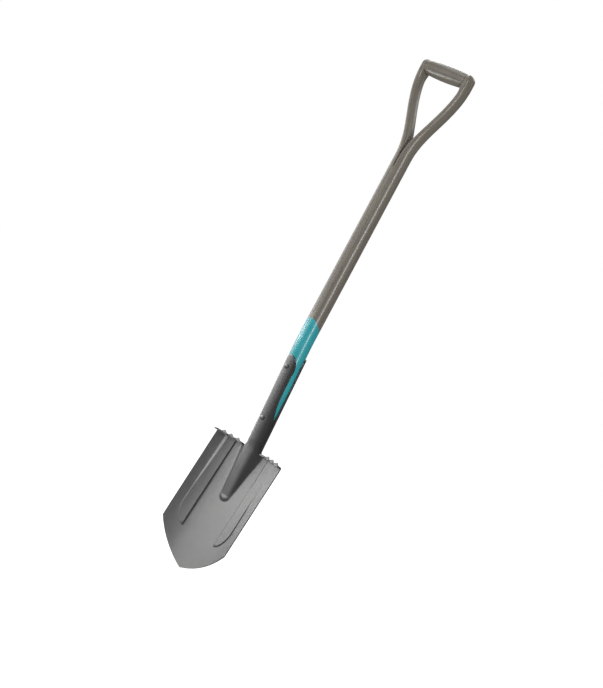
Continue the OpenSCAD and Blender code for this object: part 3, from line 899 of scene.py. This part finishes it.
class Nodes:
    """Short names for building a node material."""

    def __init__(self, name):
        self.material = bpy.data.materials.new(name)
        self.material.use_nodes = True
        self.tree = self.material.node_tree
        self.tree.nodes.clear()
        self.output = self.add("ShaderNodeOutputMaterial")

    def add(self, kind, **settings):
        node = self.tree.nodes.new(kind)
        for key, value in settings.items():
            setattr(node, key, value)
        return node

    def link(self, source, target):
        self.tree.links.new(source, target)

    def feed(self, socket, value):
        if isinstance(value, bpy.types.NodeSocket):
            self.link(value, socket)
        else:
            socket.default_value = value

    def attribute(self, name, output="Fac"):
        return self.add("ShaderNodeAttribute", attribute_name=name).outputs[output]

    def scaled(self, vector, scale):
        node = self.add("ShaderNodeVectorMath", operation="MULTIPLY")
        self.feed(node.inputs[0], vector)
        node.inputs[1].default_value = scale
        return node.outputs[0]

    def noise(self, vector, scale, detail=4.0, roughness=0.5, distortion=0.0):
        node = self.add("ShaderNodeTexNoise")
        self.feed(node.inputs["Vector"], vector)
        node.inputs["Scale"].default_value = scale
        node.inputs["Detail"].default_value = detail
        node.inputs["Roughness"].default_value = roughness
        node.inputs["Distortion"].default_value = distortion
        return node.outputs["Fac"]

    def math(self, operation, a, b=0.0, c=0.0):
        node = self.add("ShaderNodeMath", operation=operation)
        for socket, value in zip(node.inputs, (a, b, c)):
            self.feed(socket, value)
        return node.outputs[0]

    def ramp(self, value, low, high, out_low=0.0, out_high=1.0):
        node = self.add("ShaderNodeMapRange")
        self.feed(node.inputs["Value"], value)
        for name, number in (("From Min", low), ("From Max", high),
                             ("To Min", out_low), ("To Max", out_high)):
            node.inputs[name].default_value = number
        return node.outputs[0]

    def mix(self, factor, a, b):
        node = self.add("ShaderNodeMix", data_type="RGBA")
        self.feed(node.inputs["Factor"], factor)
        for socket, colour in zip((node.inputs["A"], node.inputs["B"]), (a, b)):
            self.feed(socket_of_type(node, socket, "RGBA"), colour)
        return [s for s in node.outputs if s.type == "RGBA"][0]

    def bump(self, height, strength, distance, under=None):
        node = self.add("ShaderNodeBump")
        node.inputs["Strength"].default_value = strength
        node.inputs["Distance"].default_value = distance
        self.feed(node.inputs["Height"], height)
        if under is not None:
            self.link(under, node.inputs["Normal"])
        return node.outputs[0]

    def surface(self, **inputs):
        shader = self.add("ShaderNodeBsdfPrincipled")
        for name, value in inputs.items():
            self.feed(shader.inputs[name.replace("_", " ")], value)
        return shader.outputs[0]


def socket_of_type(node, socket, kind):
    """The colour pair of a mix node, which keeps sockets of the same name for each data type."""
    return [s for s in node.inputs if s.name == socket.name and s.type == kind][0]


def grey(value, tint=(1.0, 1.0, 1.0)):
    return tuple(value * t for t in tint) + (1.0,)


def shade(colour, factor, tint=(1.0, 1.0, 1.0)):
    """A colour made lighter or darker, and tinted."""
    return tuple(c * factor * t for c, t in zip(colour, tint)) + (1.0,)


def coated_steel(name, worn):
    """Semi-matte charcoal coat: fine orange peel, cloudy variation, rubbed edges, painted shade in the
    concave folds and a painted highlight along the convex bends.
    """
    m = Nodes(name)
    place = m.add("ShaderNodeTexCoord").outputs["Object"]
    cloud = m.noise(place, 14.0, detail=5.0, roughness=0.6)
    mottle = m.noise(place, 160.0, detail=3.0)
    peel = m.noise(place, 1500.0, detail=2.0)
    grit = m.noise(place, 5200.0, detail=1.0)
    bend = m.attribute("bend")
    rim = m.attribute("rim")
    scratch = m.noise(m.scaled(place, (1.0, 1.0, 0.05)), 900.0, detail=2.0, distortion=0.4)

    colour = m.mix(m.ramp(cloud, 0.35, 0.65), grey(0.095), grey(0.115, (1.0, 1.0, 0.99)))
    colour = m.mix(m.math("MULTIPLY", mottle, 0.25), colour, grey(0.080))
    # Painted shade: the colour darkens in the concave folds, where shade falls.
    painted_fold_shade = m.ramp(bend, 0.03, 0.2, 0.0, 0.12)
    colour = m.mix(painted_fold_shade, colour, grey(0.02))
    # Painted highlight: the colour lightens along the convex bends and crests, where light catches them.
    crest = m.ramp(bend, -0.02, -0.2, 0.0, 0.35)
    colour = m.mix(crest, colour, grey(0.19))
    rubbed = m.math("MULTIPLY", m.ramp(rim, 0.35, 0.95), m.ramp(mottle, 0.42, 0.62, 0.15, 1.0))
    rubbed = m.math("MULTIPLY", rubbed, worn)
    colour = m.mix(rubbed, colour, grey(0.24, (1.0, 0.99, 0.97)))
    fine = m.math("MULTIPLY", m.ramp(scratch, 0.66, 0.74), 0.10)
    colour = m.mix(fine, colour, grey(0.20))

    rough = m.ramp(cloud, 0.3, 0.7, 0.33, 0.38)
    rough = m.math("ADD", rough, m.ramp(mottle, 0.3, 0.7, -0.02, 0.03))
    rough = m.math("SUBTRACT", rough, m.math("MULTIPLY", rubbed, 0.12))
    normal = m.bump(peel, 0.22, 0.0003)
    normal = m.bump(grit, 0.10, 0.0001, normal)
    normal = m.bump(scratch, 0.04, 0.0002, normal)
    shader = m.surface(Base_Color=colour, Roughness=rough, Metallic=0.6, Normal=normal,
                       Specular_IOR_Level=0.6)
    m.link(shader, m.output.inputs["Surface"])
    return m.material


def weld_steel():
    """Coated weld bead: the same charcoal, darker and lighter in a random spatter."""
    m = Nodes("coated_weld")
    place = m.add("ShaderNodeTexCoord").outputs["Object"]
    spatter = m.noise(place, 700.0, detail=4.0)
    cloud = m.noise(place, 60.0, detail=3.0)
    colour = m.mix(m.ramp(spatter, 0.35, 0.7), grey(0.045), grey(0.095))
    colour = m.mix(m.math("MULTIPLY", cloud, 0.4), colour, grey(0.07, (1.05, 1.0, 0.95)))
    normal = m.bump(spatter, 0.5, 0.0004)
    shader = m.surface(Base_Color=colour, Roughness=m.ramp(spatter, 0.3, 0.7, 0.42, 0.6),
                       Metallic=0.35, Normal=normal)
    m.link(shader, m.output.inputs["Surface"])
    return m.material


def rivet_steel():
    """The coat is worn thin over the domed heads, and bright metal shows through in places."""
    m = Nodes("rivet_coat")
    place = m.add("ShaderNodeTexCoord").outputs["Object"]
    patch = m.noise(place, 420.0, detail=4.0, roughness=0.65)
    fine = m.noise(place, 2400.0, detail=2.0)
    worn = m.ramp(patch, 0.46, 0.62)
    colour = m.mix(worn, grey(0.10), grey(0.19, (1.0, 0.99, 0.97)))
    rough = m.ramp(worn, 0.0, 1.0, 0.42, 0.27)
    normal = m.bump(patch, 0.3, 0.0004)
    normal = m.bump(fine, 0.15, 0.0001, normal)
    shader = m.surface(Base_Color=colour, Roughness=rough, Metallic=m.ramp(worn, 0, 1, 0.5, 0.75),
                       Normal=normal)
    m.link(shader, m.output.inputs["Surface"])
    return m.material


def wood_layers(m, light, dark, seed):
    """Colour, height and pore mask of stained ash; the grain runs along the vector's third part."""
    grain = m.attribute("grain", "Vector")
    offset = m.add("ShaderNodeVectorMath", operation="ADD")
    m.link(grain, offset.inputs[0])
    offset.inputs[1].default_value = seed
    grain = offset.outputs[0]
    waver = m.noise(m.scaled(grain, (9.0, 9.0, 2.2)), 1.0, detail=2.0)
    rings = m.add("ShaderNodeTexWave", wave_type="BANDS", bands_direction="X",
                  wave_profile="SIN")
    m.link(m.scaled(grain, (1.0, 0.35, 0.035)), rings.inputs["Vector"])
    rings.inputs["Scale"].default_value = 75.0
    rings.inputs["Distortion"].default_value = 5.0
    rings.inputs["Detail"].default_value = 3.0
    rings.inputs["Detail Scale"].default_value = 1.3
    band = rings.outputs["Fac"]
    streak = m.noise(m.scaled(grain, (1.0, 1.0, 0.018)), 520.0, detail=4.0, roughness=0.62)
    fibre = m.noise(m.scaled(grain, (1.0, 1.0, 0.012)), 1900.0, detail=3.0, roughness=0.6)
    pore_noise = m.noise(m.scaled(grain, (1.0, 1.0, 0.03)), 1500.0, detail=2.0, roughness=0.55)
    early = m.ramp(band, 0.35, 0.8)
    pores = m.math("MULTIPLY", m.ramp(pore_noise, 0.55, 0.66), m.ramp(band, 0.2, 0.75, 0.25, 1.0))
    colour = m.mix(m.ramp(streak, 0.3, 0.7), dark, light)
    colour = m.mix(m.math("MULTIPLY", early, 0.30), colour, dark)
    colour = m.mix(m.ramp(waver, 0.35, 0.7, 0.0, 0.35), colour,
                   shade(light, 1.0, (1.12, 1.06, 0.98)))
    colour = m.mix(m.math("MULTIPLY", m.ramp(fibre, 0.45, 0.7), 0.30), colour,
                   shade(light, 1.25))
    colour = m.mix(m.math("MULTIPLY", pores, 0.65), colour,
                   shade(dark, 0.4))
    height = m.math("SUBTRACT", m.math("MULTIPLY", fibre, 0.4), pores)
    return colour, height, pores


def lacquered_wood(name, light, dark, painted, seed):
    """Stained ash under satin lacquer; the lower shaft is painted turquoise."""
    m = Nodes(name)
    colour, height, pores = wood_layers(m, light, dark, seed)
    rough = m.ramp(height, -0.6, 0.4, 0.56, 0.44)
    normal = m.bump(height, 0.22, 0.0002)
    film = m.bump(height, 0.02, 0.00005)
    wood = m.surface(Base_Color=colour, Roughness=rough, Normal=normal, Coat_Weight=0.6,
                     Coat_Roughness=0.24, Coat_Normal=film, Specular_IOR_Level=0.3)
    if not painted:
        m.link(wood, m.output.inputs["Surface"])
        return m.material

    place = m.add("ShaderNodeTexCoord").outputs["Object"]
    parts = m.add("ShaderNodeSeparateXYZ")
    m.link(place, parts.inputs[0])
    wobble = m.noise(place, 90.0, detail=3.0)
    rise = m.math("MULTIPLY_ADD", m.math("SUBTRACT", parts.outputs["Y"], AXIS_Y * MM), 0.9,
                  parts.outputs["Z"])
    rise = m.math("ADD", rise, m.math("MULTIPLY", m.math("SUBTRACT", wobble, 0.5), 0.0016))
    edge = PAINT_TOP_Z * MM
    paint = m.ramp(rise, edge + 0.0002, edge - 0.0002)
    tide = m.math("MULTIPLY", m.ramp(rise, edge - 0.0025, edge), paint)
    cloud = m.noise(place, 20.0, detail=3.0)
    peel = m.noise(m.scaled(place, (1.0, 1.0, 0.35)), 260.0, detail=2.0)
    teal = m.mix(m.ramp(cloud, 0.35, 0.65), (0.020, 0.325, 0.370, 1.0), (0.026, 0.375, 0.425, 1.0))
    teal = m.mix(m.math("MULTIPLY", tide, 0.35), teal, (0.012, 0.20, 0.23, 1.0))
    teal = m.mix(m.math("MULTIPLY", pores, 0.18), teal, (0.010, 0.18, 0.21, 1.0))
    gloss_normal = m.bump(peel, 0.05, 0.0003)
    gloss_normal = m.bump(height, 0.05, 0.0001, gloss_normal)
    gloss_normal = m.bump(paint, 0.3, 0.00025, gloss_normal)
    film = m.bump(peel, 0.01, 0.0002)
    gloss = m.surface(Base_Color=teal, Roughness=m.ramp(cloud, 0.3, 0.7, 0.44, 0.50),
                      Normal=gloss_normal, Coat_Weight=0.5, Coat_Roughness=0.22,
                      Coat_Normal=film)
    both = m.add("ShaderNodeMixShader")
    m.link(paint, both.inputs[0])
    m.link(wood, both.inputs[1])
    m.link(gloss, both.inputs[2])
    m.link(both.outputs[0], m.output.inputs["Surface"])
    return m.material


def dowel_wood():
    """Raw beech with short dark flecks, on the hidden dowels."""
    m = Nodes("raw_beech")
    place = m.add("ShaderNodeTexCoord").outputs["Object"]
    fleck = m.noise(m.scaled(place, (0.06, 1.0, 1.0)), 1600.0, detail=3.0)
    streak = m.noise(m.scaled(place, (0.03, 1.0, 1.0)), 500.0, detail=3.0)
    colour = m.mix(streak, (0.50, 0.32, 0.18, 1.0), (0.60, 0.42, 0.25, 1.0))
    colour = m.mix(m.math("MULTIPLY", m.ramp(fleck, 0.58, 0.68), 0.5), colour,
                   (0.30, 0.17, 0.09, 1.0))
    normal = m.bump(fleck, 0.2, 0.0002)
    shader = m.surface(Base_Color=colour, Roughness=m.ramp(streak, 0.3, 0.7, 0.6, 0.75),
                       Normal=normal)
    m.link(shader, m.output.inputs["Surface"])
    return m.material


# ---------------------------------------------------------------------------------------------
# The spade
# ---------------------------------------------------------------------------------------------


METAL = bpy.data.collections.new("metal_pieces")
WOOD = bpy.data.collections.new("wood_pieces")


def place_piece(obj, material, slot, *nodes):
    obj.data.materials.clear()
    obj.data.materials.append(material)
    (WOOD if slot.endswith("wood") else METAL).objects.link(obj)
    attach(obj, "root")
    if nodes:
        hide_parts(*nodes)


steel = coated_steel("charcoal_coat", 0.55)
weld = weld_steel()
rivet = rivet_steel()
WOOD_LIGHT = (0.215, 0.196, 0.165, 1.0)
WOOD_DARK = (0.124, 0.111, 0.090, 1.0)
GRIP_SHADE = 0.88
shaft_wood = lacquered_wood("stained_ash", WOOD_LIGHT, WOOD_DARK, True, (0.0, 0.0, 0.0))
grip_wood = lacquered_wood("stained_ash_grip", shade(WOOD_LIGHT, GRIP_SHADE),
                           shade(WOOD_DARK, GRIP_SHADE), False, (0.3, 0.1, 0.0))

place_piece(build_blade(), steel, "coated_steel", "blade")
place_piece(build_rear_strap(), steel, "coated_steel", "rear_strap")
place_piece(sweep_bead("seam_weld_beads", [seam_path(1), seam_path(-1)], 1.5, 1.5, 1.7),
            weld, "coated_steel", "seam_welds")
place_piece(sweep_bead("lip_weld_bead", [lip_path()], 1.7, 1.9, 2.0),
            weld, "coated_steel", "lip_weld")
for node, z in RIVET_ZS.items():
    place_piece(build_rivet(node, z), rivet, "rivet_steel", node)
place_piece(build_shaft(), shaft_wood, "ash_wood", "shaft")
place_piece(build_crosspiece(), grip_wood, "grip_wood", "crosspiece")
beech = dowel_wood()
for node in ("grip_dowel_left", "grip_dowel_right"):
    dowel = frame["nodes"][node]
    dowel.data.materials.clear()
    dowel.data.materials.append(beech)

# ---------------------------------------------------------------------------------------------
# Floor, light and camera
# ---------------------------------------------------------------------------------------------

VIEW_AZIMUTH = math.radians(35.57)
VIEW_ELEVATION = math.radians(1.566)
VIEW_ROLL = math.radians(28.163)
VIEW_DISTANCE = 3.243
LENS = 82.5
TARGET = Vector((-0.0028, -0.0105, 0.5233))


def from_azimuth(azimuth, elevation):
    """Direction from the spade towards a viewer; azimuth 0 is in front, positive to the right."""
    return Vector((math.sin(azimuth) * math.cos(elevation),
                   -math.cos(azimuth) * math.cos(elevation), math.sin(elevation)))


def build_floor():
    """A pale matt floor that glows to the camera only, so it runs into the white background."""
    size = 6.0
    mesh = bpy.data.meshes.new("floor")
    mesh.from_pydata([(-size, -size, 0), (size, -size, 0), (size, size, 0), (-size, size, 0)],
                     [], [(0, 1, 2, 3)])
    floor = bpy.data.objects.new("floor", mesh)
    bpy.context.scene.collection.objects.link(floor)
    m = Nodes("pale_floor")
    place = m.add("ShaderNodeTexCoord").outputs["Object"]
    speck = m.noise(place, 35.0, detail=4.0)
    colour = m.mix(speck, grey(0.78), grey(0.82))
    matt = m.surface(Base_Color=colour, Roughness=0.9, Specular_IOR_Level=0.0)
    glow = m.add("ShaderNodeEmission")
    glow.inputs["Strength"].default_value = 0.93
    lit = m.add("ShaderNodeAddShader")
    m.link(matt, lit.inputs[0])
    m.link(glow.outputs[0], lit.inputs[1])
    path = m.add("ShaderNodeLightPath")
    seen = m.add("ShaderNodeMixShader")
    m.link(path.outputs["Is Camera Ray"], seen.inputs[0])
    m.link(matt, seen.inputs[1])
    m.link(lit.outputs[0], seen.inputs[2])
    m.link(seen.outputs[0], m.output.inputs["Surface"])
    mesh.materials.append(m.material)


def build_world():
    """White to the camera, and a dim soft fill for everything else."""
    world = bpy.data.worlds.new("studio")
    bpy.context.scene.world = world
    world.use_nodes = True
    tree = world.node_tree
    tree.nodes.clear()
    output = tree.nodes.new("ShaderNodeOutputWorld")
    path = tree.nodes.new("ShaderNodeLightPath")
    fill = tree.nodes.new("ShaderNodeBackground")
    fill.inputs["Color"].default_value = (1.0, 1.0, 1.0, 1.0)
    fill.inputs["Strength"].default_value = 0.12
    seen = tree.nodes.new("ShaderNodeBackground")
    seen.inputs["Color"].default_value = (1.0, 1.0, 1.0, 1.0)
    seen.inputs["Strength"].default_value = 1.0
    both = tree.nodes.new("ShaderNodeMixShader")
    tree.links.new(path.outputs["Is Camera Ray"], both.inputs[0])
    tree.links.new(fill.outputs[0], both.inputs[1])
    tree.links.new(seen.outputs[0], both.inputs[2])
    tree.links.new(both.outputs[0], output.inputs["Surface"])


def softbox(name, azimuth, elevation, distance, size, radiance, middle_z=0.55, only=None):
    """A rectangular light that looks at the spade's axis; only limits it to some pieces."""
    light = bpy.data.lights.new(name, "AREA")
    light.shape = "RECTANGLE"
    light.size, light.size_y = size
    light.energy = radiance * math.pi * size[0] * size[1]
    obj = bpy.data.objects.new(name, light)
    bpy.context.scene.collection.objects.link(obj)
    direction = from_azimuth(math.radians(azimuth), math.radians(elevation))
    obj.location = Vector((0, 0, middle_z)) + direction * distance
    obj.rotation_euler = (-direction).to_track_quat("-Z", "Y").to_euler()
    if only is not None:
        obj.light_linking.receiver_collection = only


def build_camera():
    data = bpy.data.cameras.new("camera")
    data.lens = LENS
    data.sensor_width = 36.0
    camera = bpy.data.objects.new("camera", data)
    bpy.context.scene.collection.objects.link(camera)
    direction = from_azimuth(VIEW_AZIMUTH, VIEW_ELEVATION)
    camera.location = TARGET + direction * VIEW_DISTANCE
    upright = (-direction).to_track_quat("-Z", "Y")
    camera.rotation_mode = "QUATERNION"
    camera.rotation_quaternion = upright @ Quaternion((0, 0, 1), VIEW_ROLL)
    bpy.context.scene.camera = camera


build_floor()
build_world()
# The metal and the wood each have softboxes of their own, which light nothing else.
softbox("metal_key", -44, 8, 2.2, (2.7, 2.2), 4.4, middle_z=0.3, only=METAL)
softbox("metal_side", -106, 8, 2.2, (2.3, 2.2), 6.2, middle_z=0.3, only=METAL)
softbox("metal_low", 8, -3, 2.0, (1.2, 0.5), 2.4, middle_z=0.15, only=METAL)
softbox("metal_fill", 62, -6, 2.4, (1.6, 1.6), 0.22, middle_z=0.3, only=METAL)
softbox("wood_key", -92, 5, 1.8, (1.6, 1.4), 1.7, middle_z=0.6, only=WOOD)
softbox("wood_fill", -28, 12, 2.6, (2.0, 1.8), 1.25, only=WOOD)
softbox("wood_strip", 60, 2, 2.2, (0.22, 1.6), 27.0, middle_z=0.62, only=WOOD)
softbox("grip_top", -115, 46, 0.9, (0.7, 0.5), 5.0, middle_z=1.15, only=WOOD)
softbox("grip_low", -58, -45, 0.9, (0.7, 0.10), 12.0, middle_z=1.15, only=WOOD)
softbox("top", -20, 64, 2.0, (1.4, 1.2), 2.0)
softbox("back_left", -150, 46, 2.4, (1.4, 1.4), 2.6)
softbox("back_top", 178, 52, 2.2, (1.4, 1.2), 2.2)
build_camera()
bpy.context.scene.view_settings.view_transform = "Standard"
